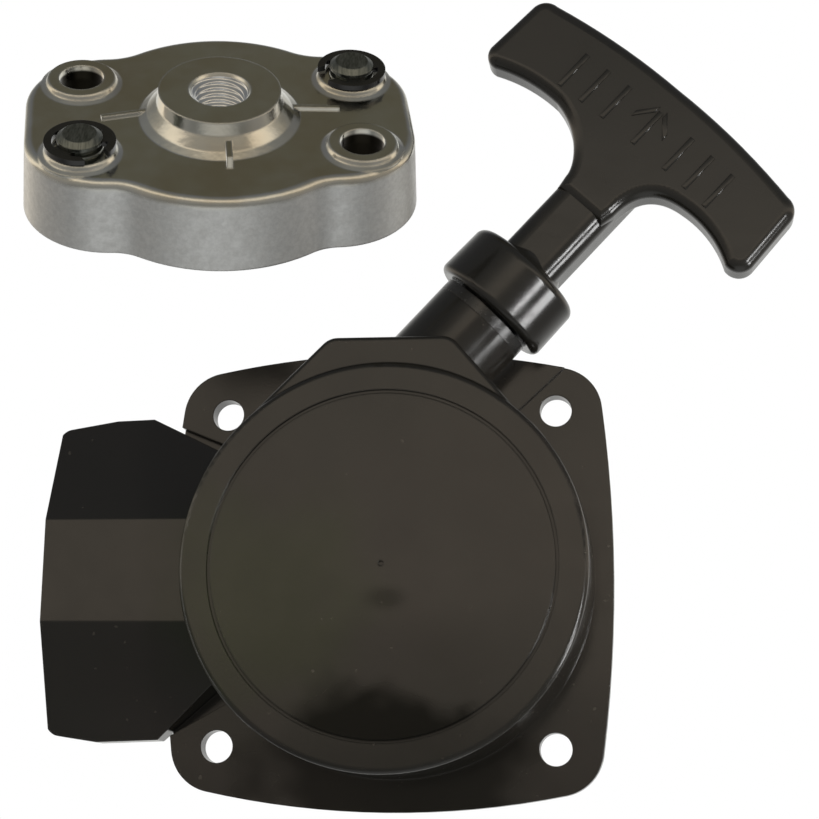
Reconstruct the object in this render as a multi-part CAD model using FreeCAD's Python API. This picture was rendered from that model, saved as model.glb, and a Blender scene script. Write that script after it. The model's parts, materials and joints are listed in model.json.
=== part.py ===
"""Recoil starter of a small two-stroke engine, with its pawl hub. Millimetres.

Everything is drawn in face coordinates: x to the right, y up and z out of the drum face, with
z = 0 on the plane that bolts to the engine and the origin between the four bolt holes. A quarter
turn about X then stands the starter up as it is mounted: the engine is on the +Y side.
"""
import FreeCAD, Part
import math
import os

V = FreeCAD.Vector
X, Y, Z = V(1, 0, 0), V(0, 1, 0), V(0, 0, 1)

# Flange that bolts to the engine
BOLT_SPACING = 66.0
BOLT_HOLE_R = 3.15
FLANGE_T = 4.0
FLANGE_HALF_W, FLANGE_HALF_H = 44.2, 45.2   # at the middle of each bowed side
SIDE_BOW, TOP_BOW = 2.0, 3.2                # how far a side falls back at the hole line
CORNER_R = 9.0
PAD_T = 0.7                                 # raised pad beside the spout

# Drum cover over the reel
AXIS_X = 1.6                                # crank axis, right of the hole pattern's centre
DRUM_H = 24.0
DRUM_R = 38.7                               # at the face
DRUM_BASE_R = 39.0
LIP_R = 1.1
WALL = 2.4
GROOVE_R, GROOVE_W, GROOVE_DEPTH = 32.9, 0.7, 0.45
DIMPLE_R = 0.5
COVER_Z = DRUM_H - WALL                     # underside of the drum face
CAVITY_R = DRUM_R - WALL
NECK_TOP = 43.9
NECK_H = 23.1                               # a small step below the drum face
NECK_CORNER_R = 4.0

# Duct wing on the left
WING_END = -66.8
WING_HALF = 32.6
WING_EDGE_Z = 4.8
WING_TOP_Z = 16.0
WING_BAND = 10.0                            # half width of the flat middle band
WING_WALL = 2.0
WING_LEAN = 0.9                             # how far the end wall leans in over 20 mm of height
WING_UPPER_EDGE = ((-20.0, 17.9), (-48.0, 32.1))   # walls that part it from the flange
WING_LOWER_EDGE = ((-44.6, -31.9), (-20.0, -10.0))
POCKET_FLOOR = 1.2

# Rope, its line and the spout around it
ROPE_ANGLE = 47.0                           # direction of the pull above +x, degrees
ROPE_LINE_R = 21.6                          # from the crank axis to the rope line
ROPE_Z = 11.0
ROPE_R = 1.55
ROPE_PITCH = 3.15
ROPE_LAYERS = 3
SPOUT_R = 9.9
SPOUT_END = 47.5                            # along the rope line, from its foot on the reel
GUIDE_BORE_R = 6.0
GUIDE_RING_T = 2.2
LEAD_START = 12.0                           # where the rope is clear of its coil
LEAD_END = 54.2

# T-handle, along the rope line
COLLAR_START, COLLAR_END, COLLAR_R = 50.1, 61.9, 12.6
FLARE_END = 64.2
HANDLE_NECK_HALF = 6.3
HANDLE_NECK_T = 12.6
GRIP_HALF = 34.5
GRIP_SHIFT = -1.4                           # the grip sits a little to the left of the rope line
GRIP_LOW, GRIP_LOW_LEFT = 86.8, 87.2
GRIP_WAIST, GRIP_TOP, GRIP_CROWN = 89.9, 104.9, 107.6
GRIP_CORNER, GRIP_CORNER_LEFT = 4.2, 3.6
THROAT, THROAT_LEFT = (6.2, 0.6), (4.5, 1.3)   # how far the stem runs on, and the bar's root drops
GRIP_START = 77.0                            # where the grip's face rises from the stem
GRIP_FRONT, GRIP_BACK = 7.0, -1.2            # the arms' faces, from the rope line
GRIP_EDGE_R = 2.2
SPINE_END = 104.0                            # the stem runs on behind the grip, around the knot
KNOT_SEAT = 92.0

# Reel on the post, all z values
POST_R, POST_END = 5.0, 4.6
REEL_BORE_R = 6.2
REEL_FLANGE_R, REEL_FLANGE_T = 27.5, 1.3
REEL_REAR, REEL_FRONT = 6.4, 15.6
REEL_CORE_R = 13.7
DOG_R, DOG_BORE_R, DOG_END = 14.5, 10.6, 0.8
DOG_SLOTS, DOG_SLOT_W = 4, 4.5
ARBOR_R, ARBOR_END = 8.2, 20.9
SPRING_R0, SPRING_TURNS, SPRING_PITCH, SPRING_T = 8.8, 9, 1.9, 0.6
SPRING_Z0, SPRING_Z1 = 16.9, 21.2
SPRING_RIB_R = 28.0

# Pawl hub: its own axes are u along it, v across it and w up its boss; w = 0 on the plate's top
HUB_CENTRE = V(-23.2, 75.1, 61.0)
HUB_YAW, HUB_PITCH, HUB_ROLL = 4.4, 13.9, -34.9
HUB_LENGTH, HUB_END_HALF, HUB_BULGE_R = 68.4, 20.1, 26.1
HUB_SKIRT, HUB_PLATE_T, HUB_WALL = 14.0, 3.2, 2.3
HUB_CORNER_R, HUB_BLEND_R, HUB_EDGE_R = 14.5, 10.0, 1.6
HUB_DRAFT = 1.1                             # how much wider the skirt's open end is, each way
PIN_U, PIN_V = 24.4, 11.0
PIN_R, PIN_HOLE_R = 3.93, 4.0
SOCKET_R, SOCKET_DEPTH = 5.9, 10.5           # the two holes without a pin are blind, in bosses
JOURNAL_R = 2.6                             # the pin's thinner end, in the pawl
BOSS_R, BOSS_H, BOSS_FOOT_R = 10.8, 5.4, 14.6
THREAD_R, THREAD_MOUTH_R = 5.0, 5.5
RIM_R, RIM_H, RIM_FOOT_R = 6.1, 1.3, 7.3
CLIP_Z0, CLIP_Z1, CLIP_R = 1.6, 2.6, 6.2
PIN_TOP = 4.1
PAWL_Z0, PAWL_Z1 = -11.9, -6.9
PAWL_REACH, PAWL_ANGLE, PAWL_TIP_R, PAWL_EYE_R = 16.0, -16.3, 2.2, 4.6


def polar(radius, degrees):
    """A vector in the plane from its length and angle."""
    return V(radius * math.cos(math.radians(degrees)), radius * math.sin(math.radians(degrees)), 0)


AXIS = V(AXIS_X, 0, 0)
PULL = polar(1, ROPE_ANGLE)
ACROSS = polar(1, ROPE_ANGLE - 90)
ROPE_FOOT = AXIS + polar(ROPE_LINE_R, ROPE_ANGLE + 90) + V(0, 0, ROPE_Z)


def cylinder(radius, z0, z1, centre=V(0, 0, 0)):
    return Part.makeCylinder(radius, z1 - z0, centre + V(0, 0, z0))


def ring(outer, inner, z0, z1, centre=V(0, 0, 0)):
    return cylinder(outer, z0, z1, centre).cut(cylinder(inner, z0, z1, centre))


def rod(radius, start, end):
    """A cylinder along the rope line."""
    return Part.makeCylinder(radius, end - start, ROPE_FOOT + PULL * start, PULL)


def prism(points, z0, z1):
    """A straight block over an outline of corner points, listed counter-clockwise."""
    corners = [V(px, py, z0) for px, py in points]
    face = Part.Face(Part.makePolygon(corners + corners[:1]))
    return face.extrude(V(0, 0, z1 - z0))


def turned(profile, centre=V(0, 0, 0)):
    """A solid turned about a line along z through centre, from (radius, z) points."""
    points = [centre + V(r, 0, z) for r, z in profile]
    return Part.Face(Part.makePolygon(points + points[:1])).revolve(centre, Z, 360)


def edges_at(shape, test):
    """The edges whose middle passes a test."""
    return [e for e in shape.Edges if test(e.valueAt((e.FirstParameter + e.LastParameter) / 2), e)]


def upright(edge):
    """Whether an edge runs along z."""
    start, end = edge.Vertexes[0].Point, edge.Vertexes[-1].Point
    return (end - start).Length > 1 and (end - start).cross(Z).Length < 1e-6


# ---------------------------------------------------------------- housing

def flange_plate():
    """The square plate with four slightly bowed sides and round corners."""
    half = BOLT_SPACING / 2
    corner_x = FLANGE_HALF_W - SIDE_BOW * (FLANGE_HALF_H / half) ** 2 * 0.8
    corner_y = FLANGE_HALF_H - TOP_BOW * (FLANGE_HALF_W / half) ** 2 * 0.87
    corners = [V(corner_x, corner_y, 0), V(-corner_x, corner_y, 0),
               V(-corner_x, -corner_y, 0), V(corner_x, -corner_y, 0)]
    middles = [V(0, FLANGE_HALF_H, 0), V(-FLANGE_HALF_W, 0, 0),
               V(0, -FLANGE_HALF_H, 0), V(FLANGE_HALF_W, 0, 0)]
    sides = [Part.Arc(corners[i], middles[i], corners[(i + 1) % 4]).toShape() for i in range(4)]
    plate = Part.Face(Part.Wire(sides)).extrude(V(0, 0, FLANGE_T))
    return plate.makeFillet(CORNER_R, edges_at(plate, lambda p, e: upright(e)))


def spout_pad(plate):
    """A slightly raised field of the plate between the neck and the upper right hole."""
    field = prism([(8, 48), (8, 30), (24.5, 32), (41.5, 48)], FLANGE_T, FLANGE_T + PAD_T)
    outline = plate.copy()
    outline.translate(V(0, 0, PAD_T))
    return field.common(outline)


def drum():
    """The round cover with a small radius round its face."""
    body = Part.makeCone(DRUM_BASE_R, DRUM_R, DRUM_H, AXIS)
    return body.makeFillet(LIP_R, edges_at(body, lambda p, e: abs(p.z - DRUM_H) < 1e-6 and e.Length > 1))


def neck_outline(inset):
    """The neck's four corners, tangent to the drum, moved in by a wall's thickness."""
    top = NECK_TOP - inset
    return [(AXIS_X, 0), (27.4 - 2.2 * inset, 28.5), (14.2 - inset * 0.45, top),
            (-9.4 + inset * 0.45, top), (-24.8 + 2.2 * inset, 28.5)]


def neck(inset, z0, z1):
    return prism(neck_outline(inset), z0, z1)


def outer_neck():
    body = neck(0, 0, NECK_H)
    tops = edges_at(body, lambda p, e: upright(e) and p.y > NECK_TOP - 1)
    body = body.makeFillet(NECK_CORNER_R, tops)
    rim = edges_at(body, lambda p, e: abs(p.z - NECK_H) < 1e-6 and p.y > 29)
    return body.makeFillet(0.8, rim)


def wing_roof(inset):
    """The wing's roof section, three facets, swept along x."""
    half, edge, top = WING_HALF - inset, WING_EDGE_Z - inset * 0.6, WING_TOP_Z - inset
    section = [(-half, -1), (-half, edge), (-WING_BAND, top), (WING_BAND, top), (half, edge), (half, -1)]
    points = [V(-80, sy, sz) for sy, sz in section]
    return Part.Face(Part.makePolygon(points + points[:1])).extrude(V(70, 0, 0))


def wing_draft():
    """What the wing's end wall falls back by, as a wedge to cut away."""
    points = [V(WING_END - 1, -40, 0), V(WING_END, -40, 0), V(WING_END + WING_LEAN, -40, 20),
              V(WING_END - 1, -40, 20)]
    return Part.Face(Part.makePolygon(points + points[:1])).extrude(V(0, 80, 0))


def wing():
    """The wing's outline from above, under the roof section."""
    plan = [(WING_END, -31.0), (-57.0, -32.4), *WING_LOWER_EDGE, *WING_UPPER_EDGE, (-55.5, 31.8),
            (WING_END, 29.6)]
    block = prism(plan, 0, 20)
    ends = edges_at(block, lambda p, e: upright(e) and p.x < WING_END + 1)
    body = block.makeFillet(2.5, ends).cut(wing_draft()).common(wing_roof(0))
    ridges = edges_at(body, lambda p, e: abs(p.z - WING_TOP_Z) < 1e-6 and abs(abs(p.y) - WING_BAND) < 1e-6)
    return body.makeFillet(0.7, ridges)


def wing_hollow():
    inner = prism([(WING_END + WING_WALL, -29), (-46, -29), (-41.5, -24), (-41.5, 24),
                   (-46, 29), (WING_END + WING_WALL, 29)], -1, 20)
    return inner.common(wing_roof(WING_WALL))


def wing_pockets():
    """The two narrow pockets that part the wing from the flange's left corners."""
    upper = [*WING_UPPER_EDGE[::-1], (-20, 21.5), (-36.6, 28.2), (-43.9, 31.2), (-50, 36)]
    lower = [*WING_LOWER_EDGE[::-1], (-46, -33.6), (-43.0, -31.3), (-20, -18.2)]
    return [prism(upper, POCKET_FLOOR, 20), prism(lower, POCKET_FLOOR, 20)]


def post():
    """The post that the reel turns on, with a foot on the cover and a pilot hole for its screw."""
    body = cylinder(POST_R, POST_END, COVER_Z + 0.5, AXIS)
    foot = Part.makeCone(POST_R, 7.0, 0.7, AXIS + V(0, 0, COVER_Z - 0.7))
    return body.fuse(foot).cut(cylinder(2.1, POST_END - 1, 18, AXIS))


def spring_seat():
    """The rib that keeps the spring in place, with a notch for the spring's outer hook."""
    rib = ring(SPRING_RIB_R + 1.8, SPRING_RIB_R, SPRING_Z0 - 1.0, COVER_Z + 0.5, AXIS)
    notch = Part.makeBox(3, 2.4, 10, V(AXIS_X + SPRING_RIB_R - 0.6, -1.2, SPRING_Z0 - 2))
    return rib.cut(notch)


def cover_ribs():
    """Stiffening ribs between the spring seat and the drum's wall."""
    ribs = []
    for step in range(8):
        rib = Part.makeBox(CAVITY_R - SPRING_RIB_R - 1.2, 1.4, 4.0,
                           V(SPRING_RIB_R + 1.5, -0.7, COVER_Z - 3.6))
        rib.rotate(V(0, 0, 0), Z, 45 * step + 22.5)
        rib.translate(AXIS)
        ribs.append(rib)
    return ribs


def bolt_holes():
    half = BOLT_SPACING / 2
    return [cylinder(BOLT_HOLE_R, -1, FLANGE_T + 2, V(sx * half, sy * half, 0))
            for sx in (-1, 1) for sy in (-1, 1)]


def housing():
    plate = flange_plate()
    plate = plate.fuse(spout_pad(plate)).cut(wing_pockets())
    body = plate.fuse([wing(), drum(), outer_neck(), rod(SPOUT_R, 20, SPOUT_END)])
    cavity = cylinder(CAVITY_R, -1, COVER_Z, AXIS)
    hollows = [cavity, neck(WALL, -1, COVER_Z), wing_hollow(), rod(GUIDE_BORE_R, 6, SPOUT_END + 1)]
    groove = ring(GROOVE_R + GROOVE_W / 2, GROOVE_R - GROOVE_W / 2, DRUM_H - GROOVE_DEPTH, DRUM_H + 1, AXIS)
    dimple = cylinder(DIMPLE_R, DRUM_H - 0.5, DRUM_H + 1, AXIS)
    body = body.cut(hollows + [groove, dimple] + bolt_holes())
    body = body.fuse([post(), spring_seat()] + cover_ribs())
    return body.removeSplitter()


def rope_guide():
    """The bushing in the spout's end: a shank, a ring on the spout's rim and a short nose."""
    body = rod(GUIDE_BORE_R, SPOUT_END - 12, SPOUT_END).fuse(rod(SPOUT_R, SPOUT_END, SPOUT_END + GUIDE_RING_T))
    body = body.fuse(rod(7.2, SPOUT_END + GUIDE_RING_T, SPOUT_END + GUIDE_RING_T + 2.6))
    body = body.cut(rod(2.3, SPOUT_END - 13, SPOUT_END + 6))
    mouth = Part.makeCone(4.6, 2.3, 3.0, ROPE_FOOT + PULL * (SPOUT_END - 12), PULL)
    return body.cut(mouth).removeSplitter()


# ---------------------------------------------------------------- spring, reel and rope

def recoil_spring():
    """A spiral strip of half turns on two centres, with a hook into the housing's rib."""
    step = SPRING_PITCH / 2
    outer, inner = [], []
    radius = SPRING_R0
    for turn in range(2 * SPRING_TURNS):
        side = 1 if turn % 2 == 0 else -1
        centre = V(0 if side == 1 else step, 0, SPRING_Z0)
        for edges, r in ((inner, radius), (outer, radius + SPRING_T)):
            start, end = centre + V(side * r, 0, 0), centre + V(-side * r, 0, 0)
            edges.append(Part.Arc(start, centre + V(0, side * r, 0), end).toShape())
        radius += step
    first_in, first_out = inner[0].Vertexes[0].Point, outer[0].Vertexes[0].Point
    last_in, last_out = inner[-1].Vertexes[-1].Point, outer[-1].Vertexes[-1].Point
    caps = [Part.makeLine(first_in, first_out), Part.makeLine(last_in, last_out)]
    face = Part.Face(Part.Wire(Part.__sortEdges__(inner + outer + caps)))
    strip = face.extrude(V(0, 0, SPRING_Z1 - SPRING_Z0))
    hook_start = last_in.x
    hook = Part.makeBox(SPRING_RIB_R + 1.0 - hook_start, SPRING_T, SPRING_Z1 - SPRING_Z0,
                        V(hook_start, last_in.y - SPRING_T / 2, SPRING_Z0))
    strip = strip.fuse(hook).removeSplitter()
    strip.translate(AXIS)
    return strip


def spring_plate():
    """The thin steel ring that keeps the spring in the housing, clear of the reel."""
    return ring(SPRING_RIB_R - 0.1, ARBOR_R + 0.5, SPRING_Z0 - 0.9, SPRING_Z0 - 0.4, AXIS)


def reel():
    """Core, two flanges, the arbor inside the spring and the slotted dog on the engine side."""
    core = cylinder(REEL_CORE_R, REEL_REAR, REEL_FRONT, AXIS)
    rear = cylinder(REEL_FLANGE_R, REEL_REAR, REEL_REAR + REEL_FLANGE_T, AXIS)
    front = cylinder(REEL_FLANGE_R, REEL_FRONT - REEL_FLANGE_T, REEL_FRONT, AXIS)
    arbor = cylinder(ARBOR_R, REEL_FRONT, ARBOR_END, AXIS)
    body = core.fuse([rear, front, arbor, ring(DOG_R, DOG_BORE_R, DOG_END, REEL_REAR + 0.5, AXIS)])
    cuts = [cylinder(REEL_BORE_R, REEL_REAR - 1, ARBOR_END + 1, AXIS)]
    for step in range(DOG_SLOTS):
        slot = Part.makeBox(8, DOG_SLOT_W, REEL_REAR - DOG_END, V(DOG_BORE_R - 2, -DOG_SLOT_W / 2, DOG_END - 0.5))
        slot.rotate(V(0, 0, 0), Z, 45 + 360 / DOG_SLOTS * step)
        slot.translate(AXIS)
        cuts.append(slot)
    for step in range(6):
        hole = cylinder(2.6, REEL_REAR - 1, REEL_REAR + REEL_FLANGE_T, AXIS + polar(20.5, 60 * step + 30))
        cuts.append(hole)
    return body.cut(cuts).removeSplitter()


def reel_bushing():
    return ring(REEL_BORE_R, POST_R + 0.06, REEL_REAR, ARBOR_END - 0.5, AXIS)


def retaining_washer():
    return ring(9.4, 2.6, POST_END - 1.2, POST_END, AXIS)


def reel_screw():
    """A pan-head screw with a cross recess, from the engine side into the post."""
    head = turned([(0, 0.6), (3.2, 0.6), (4.6, 1.6), (4.6, POST_END - 1.2), (0, POST_END - 1.2)], AXIS)
    shank = cylinder(2.1, POST_END - 1.2, POST_END + 11, AXIS)
    body = head.fuse(shank)
    for angle in (45, 135):
        slot = Part.makeBox(4.6, 0.9, 1.6, V(-2.3, -0.45, 0))
        slot.rotate(V(0, 0, 0), Z, angle)
        slot.translate(AXIS)
        body = body.cut(slot)
    return body.removeSplitter()


def rope_coil():
    """Two columns of rope in three layers, each turn a ring of its own."""
    turns = []
    for column in (-0.5, 0.5):
        for layer in range(ROPE_LAYERS):
            radius = ROPE_LINE_R - layer * ROPE_PITCH
            turns.append(Part.makeTorus(radius, ROPE_R, AXIS + V(0, 0, ROPE_Z + column * ROPE_PITCH)))
    return Part.makeCompound(turns)


def rope_reel_knot():
    """The knot that ties the rope to the reel, in one of the rear flange's holes."""
    return Part.makeCylinder(2.2, 1.3, AXIS + polar(20.5, 30) + V(0, 0, REEL_REAR - 0.1))


def rope_lead():
    """The rope from the reel through the guide to the handle."""
    return rod(ROPE_R, LEAD_START, LEAD_END)


# ---------------------------------------------------------------- handle

def handle_point(across, along, height=0.0):
    return ROPE_FOOT + ACROSS * across + PULL * along + V(0, 0, height)


def grip_side(side, height):
    """One half of the grip's outline, from the neck up and round to the crown."""
    def at(across, along):
        shift = GRIP_SHIFT if along > 81 else 0
        return handle_point(side * across + shift, along, height)

    low, corner, throat = ((GRIP_LOW, GRIP_CORNER, THROAT) if side > 0 else
                           (GRIP_LOW_LEFT, GRIP_CORNER_LEFT, THROAT_LEFT))
    stem_low, stem_high = at(HANDLE_NECK_HALF - 0.5, GRIP_START), at(HANDLE_NECK_HALF, 80)
    waist, low_out = at(16.5, GRIP_WAIST), at(GRIP_HALF - corner, low + 0.1)
    end_low, end_high = at(GRIP_HALF, low + corner * 0.8), at(GRIP_HALF - 0.6, GRIP_TOP - 3.4)
    top_out, crown = at(GRIP_HALF - 4.2, GRIP_TOP + 0.1), handle_point(GRIP_SHIFT, GRIP_CROWN, height)
    bend = Part.BezierCurve()
    bend.setPoles([stem_high, stem_high + PULL * (throat[0] - 2), at(9.0, GRIP_WAIST - throat[1]), waist])
    return [
        Part.makeLine(handle_point(0, GRIP_START, height), stem_low),
        Part.makeLine(stem_low, stem_high),
        bend.toShape(),
        Part.Arc(waist, at(25, GRIP_WAIST - 0.7), low_out).toShape(),
        Part.Arc(low_out, at(GRIP_HALF - corner * 0.25, low + corner * 0.22), end_low).toShape(),
        Part.makeLine(end_low, end_high),
        Part.Arc(end_high, at(GRIP_HALF - 1.7, GRIP_TOP - 0.9), top_out).toShape(),
        Part.Arc(top_out, at(16, GRIP_CROWN - 0.6), crown).toShape(),
    ]


def grip_bar():
    """The T-shaped grip as one rounded slab."""
    edges = grip_side(1, GRIP_BACK) + grip_side(-1, GRIP_BACK)
    face = Part.Face(Part.Wire(Part.__sortEdges__(edges)))
    slab = face.extrude(V(0, 0, GRIP_FRONT - GRIP_BACK))
    levels = (ROPE_Z + GRIP_BACK, ROPE_Z + GRIP_FRONT)
    rims = edges_at(slab, lambda p, e: min(abs(p.z - level) for level in levels) < 1e-6)
    return slab.makeFillet(GRIP_EDGE_R, rims)


def handle_stem():
    """The neck between collar and grip, a rounded bar that ends behind the grip."""
    corner = handle_point(-HANDLE_NECK_HALF, FLARE_END - 6, -HANDLE_NECK_T / 2)
    frame = FreeCAD.Matrix(ACROSS.x, PULL.x, 0, corner.x, ACROSS.y, PULL.y, 0, corner.y, 0, 0, 1, corner.z)
    bar = Part.makeBox(2 * HANDLE_NECK_HALF, SPINE_END - FLARE_END + 6, HANDLE_NECK_T)
    long_edges = edges_at(bar, lambda p, e: e.Length > 20)
    bar = bar.makeFillet(3.6, long_edges)
    return bar.transformGeometry(frame)


def handle_collar():
    """The round collar and the concave flare above it, turned about the rope line."""
    fall = FLARE_END - COLLAR_END
    profile = [
        Part.makeLine(V(0, 0, COLLAR_START), V(COLLAR_R - 1.4, 0, COLLAR_START)),
        Part.Arc(V(COLLAR_R - 1.4, 0, COLLAR_START), V(COLLAR_R - 0.4, 0, COLLAR_START + 0.4),
                 V(COLLAR_R, 0, COLLAR_START + 1.4)).toShape(),
        Part.makeLine(V(COLLAR_R, 0, COLLAR_START + 1.4), V(COLLAR_R - 0.2, 0, COLLAR_END - 2.0)),
        Part.Arc(V(COLLAR_R - 0.2, 0, COLLAR_END - 2.0), V(COLLAR_R - 0.8, 0, COLLAR_END - 0.5),
                 V(COLLAR_R - 2.2, 0, COLLAR_END)).toShape(),
        Part.Arc(V(COLLAR_R - 2.2, 0, COLLAR_END), V(7.4, 0, COLLAR_END + fall * 0.35),
                 V(6.2, 0, FLARE_END)).toShape(),
        Part.makeLine(V(6.2, 0, FLARE_END), V(0, 0, FLARE_END)),
        Part.makeLine(V(0, 0, FLARE_END), V(0, 0, COLLAR_START)),
    ]
    body = Part.Face(Part.Wire(profile)).revolve(V(0, 0, 0), Z, 360)
    body.Placement = FreeCAD.Placement(ROPE_FOOT, FreeCAD.Rotation(Z, PULL))
    return body


def handle_grip():
    body = handle_collar().fuse([handle_stem(), grip_bar()])
    cuts = [rod(8.2, COLLAR_START - 1, COLLAR_START + 2.8), rod(2.0, COLLAR_START, KNOT_SEAT + 1),
            rod(4.4, KNOT_SEAT, GRIP_CROWN + 2)]
    return body.cut(cuts).removeSplitter()


def rope_end():
    """The rope inside the handle, from the lead to the knot's washer."""
    return rod(ROPE_R, LEAD_END, KNOT_SEAT + 1.05)


def knot_washer():
    return rod(4.2, KNOT_SEAT, KNOT_SEAT + 1.0).cut(rod(ROPE_R + 0.1, KNOT_SEAT - 1, KNOT_SEAT + 2))


def handle_knot():
    """The stopper knot above the washer, pulled into a rounded plug."""
    body = rod(3.6, KNOT_SEAT + 1.1, KNOT_SEAT + 8.6)
    return body.makeFillet(2.6, edges_at(body, lambda p, e: e.Length > 20))


# ---------------------------------------------------------------- pawl hub

def arc_about(centre, radius, start_deg, end_deg):
    """An arc between two directions seen from its centre."""
    points = [centre + polar(radius, d) for d in (start_deg, (start_deg + end_deg) / 2, end_deg)]
    return Part.Arc(*points).toShape()


def blend_centre(corner, corner_r, blend_r):
    """The centre of the arc that touches the bulge and a corner arc from outside."""
    far, near = HUB_BULGE_R + blend_r, corner_r + blend_r
    span = corner.Length
    along = (far ** 2 - near ** 2 + span ** 2) / (2 * span)
    across = math.sqrt(far ** 2 - along ** 2)
    direction = V(corner).normalize()
    return direction * along + V(-direction.y, direction.x, 0) * across


def bearing(start, end):
    """The direction from one point to another, in degrees."""
    return math.degrees(math.atan2(end.y - start.y, end.x - start.x))


def hub_wire(inset, height):
    """Two round ends and a wider middle, joined by hollow blends."""
    corner = V(HUB_LENGTH / 2 - HUB_CORNER_R, HUB_END_HALF - HUB_CORNER_R, 0)
    blend = blend_centre(corner, HUB_CORNER_R, HUB_BLEND_R)
    to_blend, to_bulge = bearing(corner, blend), bearing(V(0, 0, 0), blend)
    quarter = [
        Part.makeLine(V(HUB_LENGTH / 2 - inset, 0, 0), V(HUB_LENGTH / 2 - inset, corner.y, 0)),
        arc_about(corner, HUB_CORNER_R - inset, 0, to_blend),
        arc_about(blend, HUB_BLEND_R + inset, to_blend + 180, to_bulge + 180),
        arc_about(V(0, 0, 0), HUB_BULGE_R - inset, to_bulge, 90),
    ]
    half = quarter + [edge.mirror(V(0, 0, 0), X) for edge in quarter]
    edges = half + [edge.mirror(V(0, 0, 0), Y) for edge in half]
    wire = Part.Wire(Part.__sortEdges__(edges))
    wire.translate(V(0, 0, height))
    return wire


def hub_block():
    """The hub's outside, wider at its open end."""
    return Part.makeLoft([hub_wire(-HUB_DRAFT, -HUB_SKIRT), hub_wire(0, 0)], True, True)


def hub_hollow():
    face = Part.Face(hub_wire(HUB_WALL, -HUB_SKIRT - 1))
    return face.extrude(V(0, 0, HUB_SKIRT + 1 - HUB_PLATE_T))


def hub_boss():
    """The threaded boss with its conical foot, and the stub of it under the plate."""
    return turned([(THREAD_MOUTH_R, BOSS_H), (BOSS_R, BOSS_H), (BOSS_R + 0.4, 3.0), (BOSS_FOOT_R - 1.6, 0.9),
                   (BOSS_FOOT_R, -0.2), (BOSS_FOOT_R, -HUB_PLATE_T), (BOSS_R - 0.6, -HUB_PLATE_T - 1.2),
                   (BOSS_R - 0.6, -HUB_SKIRT + 1.5), (THREAD_R, -HUB_SKIRT + 1.5), (THREAD_R, BOSS_H - 0.6)])


def rib_along(start, end, width, height):
    """A straight cast rib between two points of the plate's top."""
    side = V(0, 0, 1).cross(end - start).normalize() * (width / 2)
    corners = [start - side, end - side, end + side, start + side]
    return prism([(c.x, c.y) for c in corners], -0.5, height)


def hub_ribs():
    """Thin cast ribs from the boss: two long ones along the hub and one short one in front."""
    return [rib_along(V(-BOSS_R, 1.4, 0), V(-PIN_U + 3.5, -0.8, 0), 0.9, 0.8),
            rib_along(V(BOSS_R, 1.6, 0), V(PIN_U - 3.0, 1.0, 0), 0.9, 0.8),
            rib_along(V(1.0, -BOSS_R + 1, 0), V(1.0, -BOSS_R - 5.8, 0), 1.1, 2.4)]


def pawl_plate():
    body = hub_block()
    rim = edges_at(body, lambda p, e: abs(p.z) < 1e-6)
    body = body.makeFillet(HUB_EDGE_R, rim)
    body = body.cut(hub_hollow())
    rims = [turned([(0, -0.5), (RIM_FOOT_R, -0.5), (RIM_FOOT_R, 0), (RIM_R + 0.3, 0.45), (RIM_R, RIM_H - 0.2),
                    (RIM_R - 0.2, RIM_H), (0, RIM_H)], V(su * PIN_U, sv * PIN_V, 0))
            for su in (-1, 1) for sv in (-1, 1)]
    body = body.fuse(rims + hub_ribs())
    body = body.cut(cylinder(THREAD_R, -HUB_SKIRT, BOSS_H + 1)).fuse(hub_boss())
    spare = [V(side * PIN_U, -side * PIN_V, 0) for side in (-1, 1)]
    body = body.fuse([cylinder(SOCKET_R, -SOCKET_DEPTH - 1.2, -HUB_PLATE_T + 0.5, at) for at in spare])
    holes = [cylinder(PIN_HOLE_R, -SOCKET_DEPTH, 3, at) for at in spare]
    holes += [cylinder(PIN_HOLE_R, -HUB_SKIRT, 3, pin_centre(side)) for side in (-1, 1)]
    return body.cut(holes).removeSplitter()


def pin_centre(side):
    """The pawl pins are at the lower left (-1) and the upper right (1)."""
    return V(side * PIN_U, side * PIN_V, 0)


def pawl(side):
    """A flat arm from its eye on the pin to a round tip beside the boss."""
    tip = polar(PAWL_REACH, PAWL_ANGLE)
    normal = polar(1, PAWL_ANGLE + 90)
    eye_edge, tip_edge = normal * (PAWL_EYE_R - 0.6), normal * PAWL_TIP_R
    corners = [eye_edge, tip + tip_edge, tip - tip_edge, eye_edge * -1]
    arm = prism([(c.x, c.y) for c in corners], PAWL_Z0, PAWL_Z1)
    body = arm.fuse([cylinder(PAWL_EYE_R, PAWL_Z0, PAWL_Z1), cylinder(PAWL_TIP_R, PAWL_Z0, PAWL_Z1, tip)])
    body = body.cut(cylinder(JOURNAL_R, PAWL_Z0 - 1, PAWL_Z1 + 1)).removeSplitter()
    if side > 0:
        body.rotate(V(0, 0, 0), Z, 180)
    body.translate(pin_centre(side))
    return body


def pawl_pin(side):
    """The pin with a chamfered head, a groove for its clip and a riveted foot under the pawl."""
    profile = [(0, PAWL_Z0 - 1.0), (JOURNAL_R + 1.0, PAWL_Z0 - 1.0), (JOURNAL_R + 1.0, PAWL_Z0),
               (JOURNAL_R, PAWL_Z0), (JOURNAL_R, -HUB_PLATE_T), (PIN_R, -HUB_PLATE_T), (PIN_R, CLIP_Z0),
               (PIN_R - 0.8, CLIP_Z0), (PIN_R - 0.8, CLIP_Z1), (PIN_R, CLIP_Z1),
               (PIN_R, PIN_TOP - 0.8), (PIN_R - 1.0, PIN_TOP), (0, PIN_TOP)]
    return turned(profile, pin_centre(side))


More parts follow.
